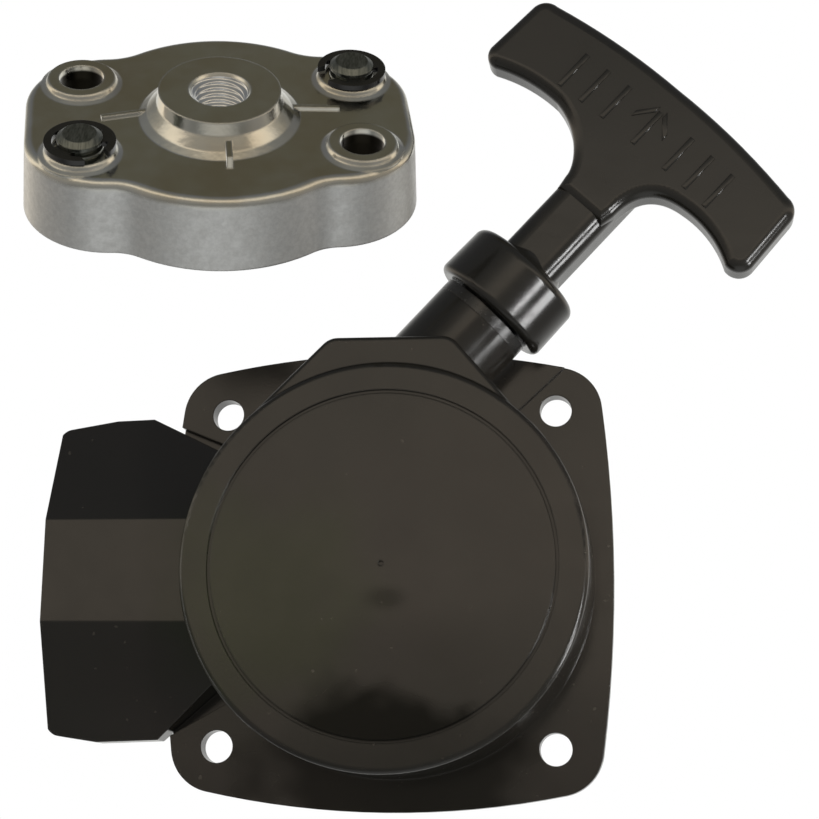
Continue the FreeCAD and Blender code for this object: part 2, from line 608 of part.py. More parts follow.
def pawl_clip(side):
    """An E-clip in the pin's groove: a ring with an opening and three inner lobes."""
    body = ring(CLIP_R, PIN_R - 0.8, CLIP_Z0, CLIP_Z1)
    mouth = Part.makeBox(CLIP_R + 1, 4.6, 2, V(0, -2.3, CLIP_Z0 - 0.5))
    relief = ring(PIN_R + 0.9, PIN_R - 1, CLIP_Z0 - 0.5, CLIP_Z1 + 0.5)
    lobes = [prism([(0, -1.3), (8, -1.9), (8, 1.9), (0, 1.3)], CLIP_Z0 - 1, CLIP_Z1 + 1) for _ in range(3)]
    for lobe, angle in zip(lobes, (75, 180, 285)):
        lobe.rotate(V(0, 0, 0), Z, angle)
        relief = relief.cut(lobe)
    body = body.cut([mouth, relief]).removeSplitter()
    body.rotate(V(0, 0, 0), Z, -60 if side < 0 else 200)
    body.translate(pin_centre(side))
    return body


def pawl_spring(side):
    """Three turns of wire round the pin, between the plate and the pawl."""
    turns = [Part.makeTorus(3.65, 0.45, pin_centre(side) + V(0, 0, -4.1 - 1.0 * turn)) for turn in range(3)]
    return Part.makeCompound(turns)


# ---------------------------------------------------------------- export

def stand(shape):
    """From face coordinates to the starter's mounted attitude."""
    shape.rotate(V(0, 0, 0), X, 90)
    return shape


def hub_place(shape):
    """From the hub's own axes to face coordinates."""
    attitude = FreeCAD.Rotation(HUB_YAW, HUB_PITCH, HUB_ROLL)
    shape.Placement = FreeCAD.Placement(HUB_CENTRE, attitude).multiply(shape.Placement)
    return shape


STARTER = (housing, rope_guide, recoil_spring, spring_plate, reel, reel_bushing, retaining_washer,
           reel_screw, rope_coil, rope_reel_knot, rope_lead, handle_grip, rope_end, knot_washer,
           handle_knot)

os.makedirs("parts", exist_ok=True)
for make in STARTER:
    stand(make()).exportStep(f"parts/{make.__name__}.step")
stand(hub_place(pawl_plate())).exportStep("parts/pawl_plate.step")
for side, word in ((-1, "left"), (1, "right")):
    for make in (pawl, pawl_pin, pawl_clip, pawl_spring):
        stand(hub_place(make(side))).exportStep(f"parts/{make.__name__}_{word}.step")
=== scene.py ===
"""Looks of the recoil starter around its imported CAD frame. Metres; the engine side is +Y, up is +Z."""
import json
import math

import bmesh
import bpy
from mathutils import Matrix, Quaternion, Vector
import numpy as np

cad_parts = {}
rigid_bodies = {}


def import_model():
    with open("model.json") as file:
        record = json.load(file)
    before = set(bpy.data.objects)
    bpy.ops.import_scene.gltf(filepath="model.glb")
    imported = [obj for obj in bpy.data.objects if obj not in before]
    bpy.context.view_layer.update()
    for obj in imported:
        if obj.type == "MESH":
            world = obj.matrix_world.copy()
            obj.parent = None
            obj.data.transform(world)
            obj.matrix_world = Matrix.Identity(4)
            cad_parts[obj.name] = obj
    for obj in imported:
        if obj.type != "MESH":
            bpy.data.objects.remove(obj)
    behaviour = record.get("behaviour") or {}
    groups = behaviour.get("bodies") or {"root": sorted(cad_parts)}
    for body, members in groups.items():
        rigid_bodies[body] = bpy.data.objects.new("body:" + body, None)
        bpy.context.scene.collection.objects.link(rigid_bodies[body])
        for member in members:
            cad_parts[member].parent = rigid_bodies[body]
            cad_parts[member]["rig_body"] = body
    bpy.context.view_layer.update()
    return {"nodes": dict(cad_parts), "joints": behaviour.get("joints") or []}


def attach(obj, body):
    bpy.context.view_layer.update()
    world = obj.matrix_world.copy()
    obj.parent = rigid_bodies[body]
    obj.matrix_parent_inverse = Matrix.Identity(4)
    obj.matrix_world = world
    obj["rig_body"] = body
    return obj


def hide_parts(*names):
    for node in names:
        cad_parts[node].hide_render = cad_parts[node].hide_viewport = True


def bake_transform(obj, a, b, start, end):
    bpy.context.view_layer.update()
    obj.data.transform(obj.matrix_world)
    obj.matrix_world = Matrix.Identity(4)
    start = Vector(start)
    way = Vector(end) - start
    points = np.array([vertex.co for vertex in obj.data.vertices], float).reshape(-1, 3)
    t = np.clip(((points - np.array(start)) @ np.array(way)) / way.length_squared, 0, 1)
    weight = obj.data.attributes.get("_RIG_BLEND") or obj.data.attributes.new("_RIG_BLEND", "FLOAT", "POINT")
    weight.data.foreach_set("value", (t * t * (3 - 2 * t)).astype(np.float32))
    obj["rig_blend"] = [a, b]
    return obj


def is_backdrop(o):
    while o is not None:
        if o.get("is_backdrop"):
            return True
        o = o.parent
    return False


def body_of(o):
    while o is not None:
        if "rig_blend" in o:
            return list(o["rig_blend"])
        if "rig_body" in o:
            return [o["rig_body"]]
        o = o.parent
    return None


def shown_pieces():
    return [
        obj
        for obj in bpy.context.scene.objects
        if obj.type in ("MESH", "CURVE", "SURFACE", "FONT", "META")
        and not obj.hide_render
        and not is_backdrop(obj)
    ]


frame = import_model()
scene = bpy.context.scene
scene.view_settings.view_transform = "Standard"

MM = 0.001

# The camera stands low and to the right of the drum's face and looks up at it
CAMERA_AT = Vector((0.0558, -0.3841, -0.0513))
CAMERA_AIM = Vector((0.0033, 0.0, 0.0346))
CAMERA_ROLL = 0.9                       # degrees; it turns the picture clockwise
CAMERA_LENS, CAMERA_SENSOR = 86.55, 36.0

FLOOR_Z, FLOOR_HALF = -0.078, 3.0

# Sizes in millimetres, most of them shared with the CAD source
ROPE_R = 1.55
ROPE_Z = 11.0
LEAD_START, LEAD_END = 12.0, 54.2
ROPE_LINE_R = 21.6
GRIP_FACE_Z = 18.0
KNOT_SEAT = 92.0
COIL_R = 18.2                           # about the middle of the rope's coil
DRUM_H, DRUM_R, GROOVE_R = 24.0, 38.7, 32.9
THREAD_R, THREAD_MINOR_R, THREAD_PITCH = 5.0, 4.25, 1.25
BOSS_H, HUB_SKIRT = 5.4, 14.0
PIN_U, PIN_V = 24.4, 11.0
HOLE_R = 4.0                            # the hub's two spare holes

joints = {j["name"]: j for j in frame["joints"]}
AXIS = Vector(joints["reel_spin"]["pos_m"])
PULL = Vector(joints["handle_pull"]["axis"])
FRONT = Vector((0, -1, 0))
ACROSS = PULL.cross(FRONT)
ROPE_FOOT = AXIS - ACROSS * ROPE_LINE_R * MM + FRONT * ROPE_Z * MM

HUB_AT = Vector(joints["hub_spin"]["pos_m"])
HUB_W = Vector(joints["hub_spin"]["axis"]).normalized()
pins = Vector(joints["pawl_right_pivot"]["pos_m"]) - Vector(joints["pawl_left_pivot"]["pos_m"])
HUB_U = (Quaternion(HUB_W, -math.atan2(PIN_V, PIN_U)) @ pins).normalized()
HUB_V = HUB_W.cross(HUB_U)


def handle_at(across, along, height=ROPE_Z):
    """A point from its distances across and along the rope line and its height over the mounting face."""
    return ROPE_FOOT + ACROSS * across * MM + PULL * along * MM + FRONT * (height - ROPE_Z) * MM


def hub_at(u, v, w):
    """A point from its distances along the hub, across it and up its axis."""
    return HUB_AT + (HUB_U * u + HUB_V * v + HUB_W * w) * MM


# ---------------------------------------------------------------- material nodes

class Nodes:
    """A material's node tree with short calls for the nodes used here."""

    def __init__(self, name, **values):
        self.material = bpy.data.materials.new(name)
        self.material.use_nodes = True
        self.tree = self.material.node_tree
        self.shader = self.tree.nodes["Principled BSDF"]
        # base_color sets the socket called Base Color, and ior sets IOR
        for socket, value in values.items():
            self.shader.inputs[socket.replace("_", " ").title().replace("Ior", "IOR")].default_value = value
        self.place = self.node("ShaderNodeTexCoord").outputs["Object"]

    def node(self, kind, **settings):
        made = self.tree.nodes.new(kind)
        for key, value in settings.items():
            setattr(made, key, value)
        return made

    def join(self, source, socket):
        self.tree.links.new(source, socket)

    def set(self, socket, value):
        """Puts a value or another node's output on a socket."""
        if isinstance(value, bpy.types.NodeSocket):
            self.join(value, socket)
        else:
            socket.default_value = value

    def math(self, operation, a, b=0.0, clamp=False):
        made = self.node("ShaderNodeMath", operation=operation, use_clamp=clamp)
        self.set(made.inputs[0], a)
        self.set(made.inputs[1], b)
        return made.outputs[0]

    def vector(self, operation, a, b=(0, 0, 0)):
        made = self.node("ShaderNodeVectorMath", operation=operation)
        self.set(made.inputs[0], a)
        self.set(made.inputs[1], b)
        return made.outputs["Value" if operation in ("DOT_PRODUCT", "DISTANCE", "LENGTH") else "Vector"]

    def noise(self, scale, detail=3.0, rough=0.5, place=None):
        made = self.node("ShaderNodeTexNoise")
        self.join(place or self.place, made.inputs["Vector"])
        made.inputs["Scale"].default_value = scale
        made.inputs["Detail"].default_value = detail
        made.inputs["Roughness"].default_value = rough
        return made.outputs["Fac"]

    def stretched(self, scale):
        """Object coordinates scaled differently along each axis."""
        made = self.node("ShaderNodeMapping")
        self.join(self.place, made.inputs["Vector"])
        made.inputs["Scale"].default_value = scale
        return made.outputs["Vector"]

    def spread(self, value, low, high, to_low=0.0, to_high=1.0, smooth=True):
        """Maps low to high onto to_low to to_high, and stays there beyond."""
        made = self.node("ShaderNodeMapRange", interpolation_type="SMOOTHSTEP" if smooth else "LINEAR")
        for socket, v in zip(made.inputs, (value, low, high, to_low, to_high)):
            self.set(socket, v)
        return made.outputs[0]

    def near(self, point, inner, outer, squash=(1, 1, 1)):
        """1 within inner metres of a point and 0 beyond outer metres; squash scales the distances."""
        offset = self.vector("SUBTRACT", self.place, tuple(point))
        scaled = self.vector("MULTIPLY", offset, squash)
        return self.spread(self.vector("LENGTH", scaled), inner, outer, 1.0, 0.0)

    def painted_reflection_patch(self, point, inner, outer, squash):
        """Like near, but its edge wanders by a few millimetres."""
        swing = 0.022
        offset = self.vector("MULTIPLY", self.vector("SUBTRACT", self.place, tuple(point)), squash)
        wander = self.math("MULTIPLY", self.math("SUBTRACT", self.noise(75, 2.0), 0.5), swing)
        reach = self.math("ADD", self.vector("LENGTH", offset), wander)
        return self.spread(reach, inner, outer, 1.0, 0.0)

    def mix(self, share, a, b):
        """A blend of two colours, each a tuple or a node's output."""
        made = self.node("ShaderNodeMix", data_type="RGBA")
        self.set(made.inputs[0], share)
        self.set(made.inputs[6], (*a, 1) if isinstance(a, tuple) else a)
        self.set(made.inputs[7], (*b, 1) if isinstance(b, tuple) else b)
        return made.outputs[2]

    def colour(self, value):
        self.join(value, self.shader.inputs["Base Color"])

    def roughness(self, value):
        self.join(value, self.shader.inputs["Roughness"])

    def bump(self, *heights, edge=0.0):
        """Bumps of (height output, depth in mm), over edges rounded to a radius in mm."""
        normal = None
        if edge:
            rounded = self.node("ShaderNodeBevel", samples=4)
            rounded.inputs["Radius"].default_value = edge * MM
            normal = rounded.outputs["Normal"]
        for height, depth in heights:
            made = self.node("ShaderNodeBump")
            made.inputs["Distance"].default_value = depth * MM
            self.join(height, made.inputs["Height"])
            if normal:
                self.join(normal, made.inputs["Normal"])
            normal = made.outputs["Normal"]
        self.join(normal, self.shader.inputs["Normal"])


# ---------------------------------------------------------------- materials

def housing_material():
    """Satin black moulded plastic: brown cast, faint flow marks, fine grain, dust and rubbed places.

    The drum has a painted olive reflection on its left, a small painted dark reflection near its middle
    and a painted dark reflection patch low down, which is also duller. All three are painted reflections.
    """
    m = Nodes("housing_plastic", ior=1.5)
    middle, flat = (AXIS.x, 0, AXIS.z), (1, 0, 1)
    on_rim, on_flange = 0.2, 0.6
    cloud = m.noise(22, 2.0)
    grain = m.noise(2600, 2.0)
    base = m.mix(m.spread(cloud, 0.35, 0.65), (0.0125, 0.0118, 0.0095), (0.0150, 0.0128, 0.0104))
    # Painted reflection: an olive cast on the drum's left, mixed into the colour
    painted_olive_reflection = m.painted_reflection_patch((-0.022, 0, -0.006), 0.006, 0.030, flat)
    base = m.mix(painted_olive_reflection, base, (0.0105, 0.0145, 0.0030))
    # Painted reflections: a small dark spot near the drum's middle, and a dark patch low down with a gap cut
    # out of it
    painted_reflection_spot = m.near((AXIS.x + 0.001, -DRUM_H * MM, -0.0065), 0.0006, 0.0042, (0.75, 1, 1.25))
    painted_reflection_patch = m.painted_reflection_patch((AXIS.x + 0.001, 0, -0.0400), 0.013, 0.0220, (0.68, 0, 1.0))
    painted_reflection_gap = m.painted_reflection_patch((AXIS.x + 0.0120, 0, -0.0215), 0.001, 0.0075, (0.60, 0, 1.2))
    # The painted dark reflection patch is whole inside the groove, faint on the rim and strong on the flange
    inside = m.near(middle, (GROOVE_R - 0.7) * MM, (GROOVE_R + 0.3) * MM, flat)
    drum = m.near(middle, (DRUM_R - 0.1) * MM, (DRUM_R + 0.9) * MM, flat)
    flange = m.math("SUBTRACT", 1.0, drum)
    where = m.math("ADD", m.math("ADD", inside, on_rim), m.math("MULTIPLY", flange, on_flange), clamp=True)
    painted_dark_reflection = m.math("MULTIPLY", m.math("SUBTRACT", painted_reflection_patch, painted_reflection_gap, clamp=True), where)
    painted_dark_reflection = m.math("MAXIMUM", painted_dark_reflection, m.math("MULTIPLY", painted_reflection_spot, 0.45))
    # Painted dark reflection: the spot and the patch darken the colour here
    base = m.mix(m.math("MULTIPLY", painted_dark_reflection, 0.7), base, (0.0045, 0.0045, 0.0035))
    dust = m.spread(m.noise(620, 1.0), 0.76, 0.80)
    m.colour(m.mix(m.math("MULTIPLY", dust, 0.6), base, (0.06, 0.055, 0.045)))
    # Where the dark reflection is painted, the plastic also reflects less
    m.join(m.spread(painted_dark_reflection, 0.0, 1.0, 0.5, 0.10, smooth=False), m.shader.inputs["Specular IOR Level"])
    rubbed = m.noise(60, 4.0, 0.65)
    m.roughness(m.spread(rubbed, 0.3, 0.7, 0.13, 0.21))
    flow = m.noise(9, 1.0, place=m.stretched((1, 1, 2.2)))
    m.bump((flow, 0.5), (grain, 0.006), edge=0.35)
    return m.material


def handle_material():
    """Glossier black plastic with faint scuffs."""
    m = Nodes("handle_plastic", ior=1.5)
    cloud = m.noise(30, 2.0)
    m.colour(m.mix(m.spread(cloud, 0.35, 0.65), (0.0140, 0.0135, 0.0115), (0.0175, 0.0165, 0.0140)))
    scuffs = m.noise(160, 5.0, 0.7, place=m.stretched((0.4, 1, 1.3)))
    m.roughness(m.spread(scuffs, 0.45, 0.75, 0.17, 0.28))
    m.bump((m.noise(14, 1.0), 0.35), (m.noise(1800, 2.0), 0.004), edge=0.25)
    return m.material


def guide_material():
    """The rope guide's dense, smooth plastic."""
    m = Nodes("guide_plastic", ior=1.52)
    m.colour(m.mix(m.noise(120, 3.0), (0.012, 0.012, 0.011), (0.026, 0.025, 0.023)))
    turned = m.noise(900, 2.0, place=m.stretched((1, 0.2, 1)))
    m.roughness(m.spread(turned, 0.3, 0.7, 0.16, 0.3))
    m.bump((turned, 0.01), edge=0.2)
    return m.material


def reel_material():
    """Natural white-grey nylon with moulding swirls."""
    m = Nodes("reel_nylon", ior=1.53)
    m.colour(m.mix(m.noise(45, 3.0), (0.40, 0.385, 0.34), (0.52, 0.50, 0.45)))
    m.roughness(m.spread(m.noise(200, 4.0), 0.3, 0.7, 0.36, 0.5))
    m.bump((m.noise(1500, 3.0), 0.012), edge=0.25)
    return m.material


def rope_material(name, along, around):
    """Braided nylon rope: two sets of strands that cross, from a length in metres and an angle around it."""
    m = Nodes(name, roughness=0.78, sheen_weight=0.25)
    length, angle = along(m), around(m)
    lay, strand_pairs = 2.6 * MM, 5.0
    turns = m.math("MULTIPLY", length, 2 * math.pi / lay)
    fold = m.math("MULTIPLY", angle, strand_pairs)
    one = m.math("SINE", m.math("ADD", turns, fold))
    two = m.math("SINE", m.math("SUBTRACT", turns, fold))
    strands_and_gap_shade = m.spread(m.math("MAXIMUM", one, two), -0.2, 1.0)
    fibre = m.noise(3200, 3.0, 0.7)
    pale = m.mix(fibre, (0.46, 0.44, 0.39), (0.66, 0.64, 0.58))
    # Painted shade: the gaps between the strands are coloured dark; the same pattern also gives the bump
    m.colour(m.mix(strands_and_gap_shade, (0.13, 0.12, 0.10), pale))
    m.bump((strands_and_gap_shade, 0.22), (fibre, 0.03))
    return m.material


def steel_material(name, dark, light, rough, grain_scale=(1, 1, 1)):
    """Machined or stamped metal with a fine grain, which can run along one axis."""
    m = Nodes(name, metallic=1.0)
    grain = m.noise(700, 4.0, 0.65, place=m.stretched(grain_scale))
    stain = m.noise(90, 3.0)
    m.colour(m.mix(m.spread(stain, 0.3, 0.7), dark, light))
    m.roughness(m.spread(grain, 0.25, 0.75, rough - 0.08, rough + 0.12))
    m.bump((grain, 0.01), edge=0.15)
    return m.material


def aluminium_material():
    """Die-cast aluminium: a smooth top with faint stains, grainy sides and painted shade in the spare holes.
    """
    m = Nodes("cast_aluminium", metallic=1.0)
    height = m.vector("DOT_PRODUCT", m.vector("SUBTRACT", m.place, tuple(HUB_AT)), tuple(HUB_W))
    top = m.spread(height, -2.2 * MM, -0.9 * MM)
    stain = m.spread(m.noise(55, 3.0, 0.6), 0.35, 0.7)
    top_colour = m.mix(stain, (0.68, 0.68, 0.62), (0.60, 0.56, 0.46))
    side_grain = m.noise(1100, 3.0, 0.7)
    side_colour = m.mix(m.spread(side_grain, 0.3, 0.7), (0.70, 0.71, 0.70), (0.80, 0.81, 0.80))
    skin = m.mix(top, side_colour, top_colour)
    below = m.spread(height, 0.0, 0.6 * MM, 1.0, 0.0)
    for sign in (-1, 1):
        offset = m.vector("SUBTRACT", m.place, tuple(hub_at(sign * PIN_U, -sign * PIN_V, 0)))
        radius = m.vector("LENGTH", m.vector("CROSS_PRODUCT", offset, tuple(HUB_W)))
        bore = m.spread(radius, HOLE_R * MM, (HOLE_R + 0.15) * MM, 1.0, 0.0)
        painted_hole_shade = m.math("MULTIPLY", bore, below)
        # Painted shade: the spare holes' bores, below the top, are coloured near black
        skin = m.mix(painted_hole_shade, skin, (0.016, 0.014, 0.010))
    m.colour(skin)
    top_rough = m.spread(m.noise(240, 4.0, 0.6), 0.3, 0.75, 0.13, 0.25)
    side_rough = m.spread(m.noise(500, 3.0), 0.3, 0.7, 0.42, 0.52)
    rough = m.node("ShaderNodeMix", data_type="FLOAT")
    m.join(top, rough.inputs[0])
    m.join(side_rough, rough.inputs[2])
    m.join(top_rough, rough.inputs[3])
    m.roughness(rough.outputs[0])
    m.bump((m.noise(150, 3.0), 0.17), (m.noise(900, 3.0, 0.7), 0.02), edge=0.5)
    return m.material


def thread_material():
    """Freshly cut metal, brighter than the casting."""
    m = Nodes("cut_thread", metallic=1.0, roughness=0.2)
    m.colour(m.mix(m.noise(300, 3.0), (0.72, 0.72, 0.69), (0.85, 0.85, 0.82)))
    m.bump((m.noise(1500, 2.0), 0.01))
    return m.material


def pin_material():
    """Dark phosphated steel, with a file-brushed head."""
    m = Nodes("pin_steel", metallic=1.0)
    brushed = m.noise(900, 4.0, 0.7, place=m.stretched((3.2, 1, 0.35)))
    m.colour(m.mix(m.spread(brushed, 0.3, 0.7), (0.12, 0.13, 0.115), (0.25, 0.26, 0.23)))
    m.roughness(m.spread(brushed, 0.3, 0.7, 0.3, 0.46))
    m.bump((brushed, 0.02), edge=0.25)
    return m.material


def clip_material():
    """Blackened spring steel with a little oil on it."""
    m = Nodes("clip_steel", ior=1.6)
    m.colour(m.mix(m.noise(150, 3.0), (0.004, 0.004, 0.004), (0.014, 0.014, 0.013)))
    m.roughness(m.spread(m.noise(400, 3.0), 0.3, 0.7, 0.14, 0.3))
    m.bump((m.noise(1300, 2.0), 0.008), edge=0.15)
    return m.material


def lead_along(m):
    """A point's distance along the pull."""
    return m.vector("DOT_PRODUCT", m.place, tuple(PULL))


def lead_around(m):
    """The angle that the surface faces, around the pull."""
    normal = m.node("ShaderNodeTexCoord").outputs["Normal"]
    return m.math("ARCTAN2", m.vector("DOT_PRODUCT", normal, tuple(ACROSS)),
                  m.vector("DOT_PRODUCT", normal, tuple(FRONT)))


def from_axis(m):
    """The object's coordinates measured from the reel's axis, in the reel's plane."""
    flat = m.vector("MULTIPLY", m.place, (1, 0, 1))
    return m.vector("SUBTRACT", flat, (AXIS.x, 0, AXIS.z))


def coil_along(m):
    """A point's distance along the coil's mean circle."""
    parts = m.node("ShaderNodeSeparateXYZ")
    m.join(from_axis(m), parts.inputs[0])
    return m.math("MULTIPLY", m.math("ARCTAN2", parts.outputs["Z"], parts.outputs["X"]), COIL_R * MM)


def coil_around(m):
    """The angle that the surface faces, around a turn of the coil."""
    normal = m.node("ShaderNodeTexCoord").outputs["Normal"]
    outward = m.vector("NORMALIZE", from_axis(m))
    return m.math("ARCTAN2", m.vector("DOT_PRODUCT", normal, outward),
                  m.vector("DOT_PRODUCT", normal, tuple(FRONT)))


def kept(name):
    """A value that a tube's mesh keeps at each point."""
    def read(m):
        return m.node("ShaderNodeAttribute", attribute_name=name).outputs["Fac"]
    return read


look = {
    "housing": housing_material(),
    "guide": guide_material(),
    "handle": handle_material(),
    "reel": reel_material(),
    "rope": rope_material("rope_braid", lead_along, lead_around),
    "rope_coil": rope_material("rope_braid_coil", coil_along, coil_around),
    "rope_knot": rope_material("rope_braid_knot", kept("along"), kept("around")),
    "spring": steel_material("spring_steel", (0.20, 0.205, 0.22), (0.34, 0.34, 0.35), 0.3, (1, 6, 1)),
    "zinc": steel_material("zinc_steel", (0.52, 0.53, 0.50), (0.66, 0.66, 0.60), 0.32),
    "bronze": steel_material("bronze", (0.50, 0.32, 0.16), (0.62, 0.42, 0.22), 0.36),
    "pawl": steel_material("pawl_steel", (0.28, 0.28, 0.27), (0.42, 0.41, 0.39), 0.4),
    "aluminium": aluminium_material(),
    "thread": thread_material(),
    "pin": pin_material(),
    "clip": clip_material(),
}

FINISH = {
    "housing": "housing", "rope_guide": "guide", "recoil_spring": "spring", "spring_plate": "zinc",
    "reel": "reel", "reel_bushing": "bronze", "retaining_washer": "zinc", "reel_screw": "zinc",
    "rope_coil": "rope_coil", "rope_reel_knot": "rope_coil", "rope_lead": "rope", "handle_grip": "handle",
    "rope_end": "rope", "knot_washer": "zinc", "handle_knot": "rope", "pawl_plate": "aluminium",
    "pawl_left": "pawl", "pawl_right": "pawl", "pawl_pin_left": "pin", "pawl_pin_right": "pin",
    "pawl_clip_left": "clip", "pawl_clip_right": "clip", "pawl_spring_left": "spring",
    "pawl_spring_right": "spring",
}
for name, finish in FINISH.items():
    mesh = frame["nodes"][name].data
    mesh.materials.clear()
    mesh.materials.append(look[finish])


# ---------------------------------------------------------------- pieces

def shown(name, shell, body, finish):
    """An object made from a bmesh, which rides on a body if given one, with its material and slot."""
    bmesh.ops.recalc_face_normals(shell, faces=shell.faces)
    mesh = bpy.data.meshes.new(name)
    shell.to_mesh(mesh)
    shell.free()
    mesh.polygons.foreach_set("use_smooth", [True] * len(mesh.polygons))
    mesh.materials.append(look[finish])
    made = bpy.data.objects.new(name, mesh)
    scene.collection.objects.link(made)
    if body:
        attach(made, body)
    return made


def piece(name, vertices, faces, body, finish):
    """The same from a list of points and the faces between them."""
    shell = bmesh.new()
    points = [shell.verts.new(v) for v in vertices]
    for face in faces:
        shell.faces.new([points[i] for i in face])
    return shown(name, shell, body, finish)


def ring_faces(rows, sides, closed):
    """Quads between neighbouring rows of points, with end caps unless the rows close on themselves."""
    faces = []
    for i in range(rows if closed else rows - 1):
        for j in range(sides):
            k, n = (j + 1) % sides, (i + 1) % rows
            faces.append((i * sides + j, i * sides + k, n * sides + k, n * sides + j))
    if not closed:
        faces += [tuple(range(sides))[::-1], tuple(range((rows - 1) * sides, rows * sides))]
    return faces


def tube(name, line, radius, sides, body, finish, closed=False):
    """A round tube along a line of points, which keeps the length and the angle at each point."""
    count = len(line)
    tangents = []
    for i in range(count):
        before, after = ((line[i - 1], line[(i + 1) % count]) if closed else
                         (line[max(i - 1, 0)], line[min(i + 1, count - 1)]))
        tangents.append((after - before).normalized())
    side = tangents[0].orthogonal().normalized()
    vertices, along, around, length = [], [], [], 0.0
    for i, (point, tangent) in enumerate(zip(line, tangents)):
        if i:
            length += (point - line[i - 1]).length
        side = (side - tangent * side.dot(tangent)).normalized()
        other = tangent.cross(side)
        for j in range(sides):
            angle = 2 * math.pi * j / sides
            vertices.append(point + (side * math.cos(angle) + other * math.sin(angle)) * radius)
            along.append(length)
            around.append(angle)
    made = piece(name, vertices, ring_faces(count, sides, closed), body, finish)
    for key, values in (("along", along), ("around", around)):
        made.data.attributes.new(key, "FLOAT", "POINT").data.foreach_set("value", values)
    return made


def rope_lead():
    """The rope from the reel through the guide, which runs out behind the handle."""
    steps = 120
    line = [handle_at(0, LEAD_START + (LEAD_END - LEAD_START) * i / steps) for i in range(steps + 1)]
    made = tube("rope_lead_braid", line, ROPE_R * MM, 24, None, "rope")
    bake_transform(made, "cover", "handle", start=handle_at(0, LEAD_START + 1), end=handle_at(0, LEAD_END - 1))
    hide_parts("rope_lead")


def stopper_knot():
    """The rope's end tied in a tight trefoil above its washer."""
    steps, width, depth, strand_r = 144, 0.92, 2.1, 1.3
    centre = handle_at(0, KNOT_SEAT + 4.6)
    line = []
    for i in range(steps):
        t = 2 * math.pi * i / steps
        across = (math.sin(t) + 2 * math.sin(2 * t)) * width
        out = (math.cos(t) - 2 * math.cos(2 * t)) * width
        line.append(centre + (ACROSS * across + FRONT * out - PULL * math.sin(3 * t) * depth) * MM)
    made = tube("stopper_knot", line, strand_r * MM, 14, "handle", "rope_knot", closed=True)
    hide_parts("handle_knot")


def pawl_springs():
    """Torsion springs wound round the pins, each with one straight leg."""
    coil_r, wire_r, turns, steps = 3.65, 0.42, 2.25, 108
    top, drop = -3.95, 2.2
    leg, leg_steps, leg_lean = 5.4, 6, 0.3
    for side, word in ((-1, "left"), (1, "right")):
        line = []
        for i in range(leg_steps + 1):
            out, back = coil_r - leg_lean * i / leg_steps, leg - leg * i / leg_steps
            line.append(hub_at(side * (PIN_U + out), side * (PIN_V - back), top))
        for i in range(1, steps + 1):
            angle = 2 * math.pi * turns * i / steps
            u, v = PIN_U + coil_r * math.cos(angle), PIN_V + coil_r * math.sin(angle)
            line.append(hub_at(side * u, side * v, top - drop * i / steps))
        made = tube(f"pawl_torsion_spring_{word}", line, wire_r * MM, 10, "hub", "spring")
        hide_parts(f"pawl_spring_{word}")


def hub_thread():
    """The cut thread in the boss, as a sleeve whose outside is inside the metal."""
    sides, rows_per_turn, run_out = 72, 12, 0.7
    low, high = -HUB_SKIRT + 1.7, BOSS_H - 0.5
    count = int((high - low) / THREAD_PITCH * rows_per_turn)
    rows = []
    for i in range(count + 1):
        w = low + (high - low) * i / count
        row = []
        for j in range(sides):
            phase = (w / THREAD_PITCH - j / sides) % 1.0
            crest = min(1.0, max(0.0, 1.6 * abs(2 * phase - 1) - 0.3))
            fade = min(1.0, (high - w) / run_out)
            row.append(THREAD_R - (THREAD_R - THREAD_MINOR_R) * crest * fade - 0.01)
        rows.append((w, row))
    rows = [(low, [THREAD_R + 0.4] * sides)] + rows + [(high, [THREAD_R + 0.25] * sides)]
    vertices = [hub_at(r * math.cos(2 * math.pi * j / sides), r * math.sin(2 * math.pi * j / sides), w)
                for w, row in rows for j, r in enumerate(row)]
    piece("hub_thread", vertices, ring_faces(len(rows), sides, True), "hub", "thread")


def raised(name, outlines, at, height, body, finish):
    """Low raised marks: each outline extruded from just inside a face, with a rounded rim."""
    sunk = 0.15
    shell = bmesh.new()
    for outline in outlines:
        bottom = [shell.verts.new(at(a, b, -sunk)) for a, b in outline]
        top = [shell.verts.new(at(a, b, height)) for a, b in outline]
        count = len(outline)
        shell.faces.new(bottom[::-1])
        cap = shell.faces.new(top)
        for i in range(count):
            shell.faces.new((bottom[i], bottom[(i + 1) % count], top[(i + 1) % count], top[i]))
        bmesh.ops.bevel(shell, geom=list(cap.edges), offset=height * 0.7 * MM, segments=3, affect="EDGES",
                        profile=0.5)
    shown(name, shell, body, finish)


def bar(a, b, long, wide):
    """The outline of an upright bar round a middle point."""
    return [(a - wide / 2, b - long / 2), (a + wide / 2, b - long / 2),
            (a + wide / 2, b + long / 2), (a - wide / 2, b + long / 2)]


def pull_mark():
    """A plain arrow between grip bars, raised on the handle's face: it points the way to pull."""
    middle, long, wide, off_centre, height = 97.2, 8.4, 1.1, -0.6, 0.28
    first, step, fall = 8.2, 5.4, 0.25
    marks = [bar(0, middle, long, wide)]
    for side in (-1, 1):
        marks += [bar(side * (first + step * i), middle - fall * i, long, wide) for i in range(3)]
        marks.append([(side * 0.9, 100.7), (side * 0.9, 102.2), (side * 4.0, 98.6), (side * 4.0, 97.1)])
    placed = [[(a + off_centre, b) for a, b in outline] for outline in marks]
    raised("pull_mark", placed, lambda a, b, lift: handle_at(a, b, GRIP_FACE_Z + lift), height,
           "handle", "handle")


rope_lead()
stopper_knot()
pawl_springs()
hub_thread()
pull_mark()


# ---------------------------------------------------------------- stage, light and camera

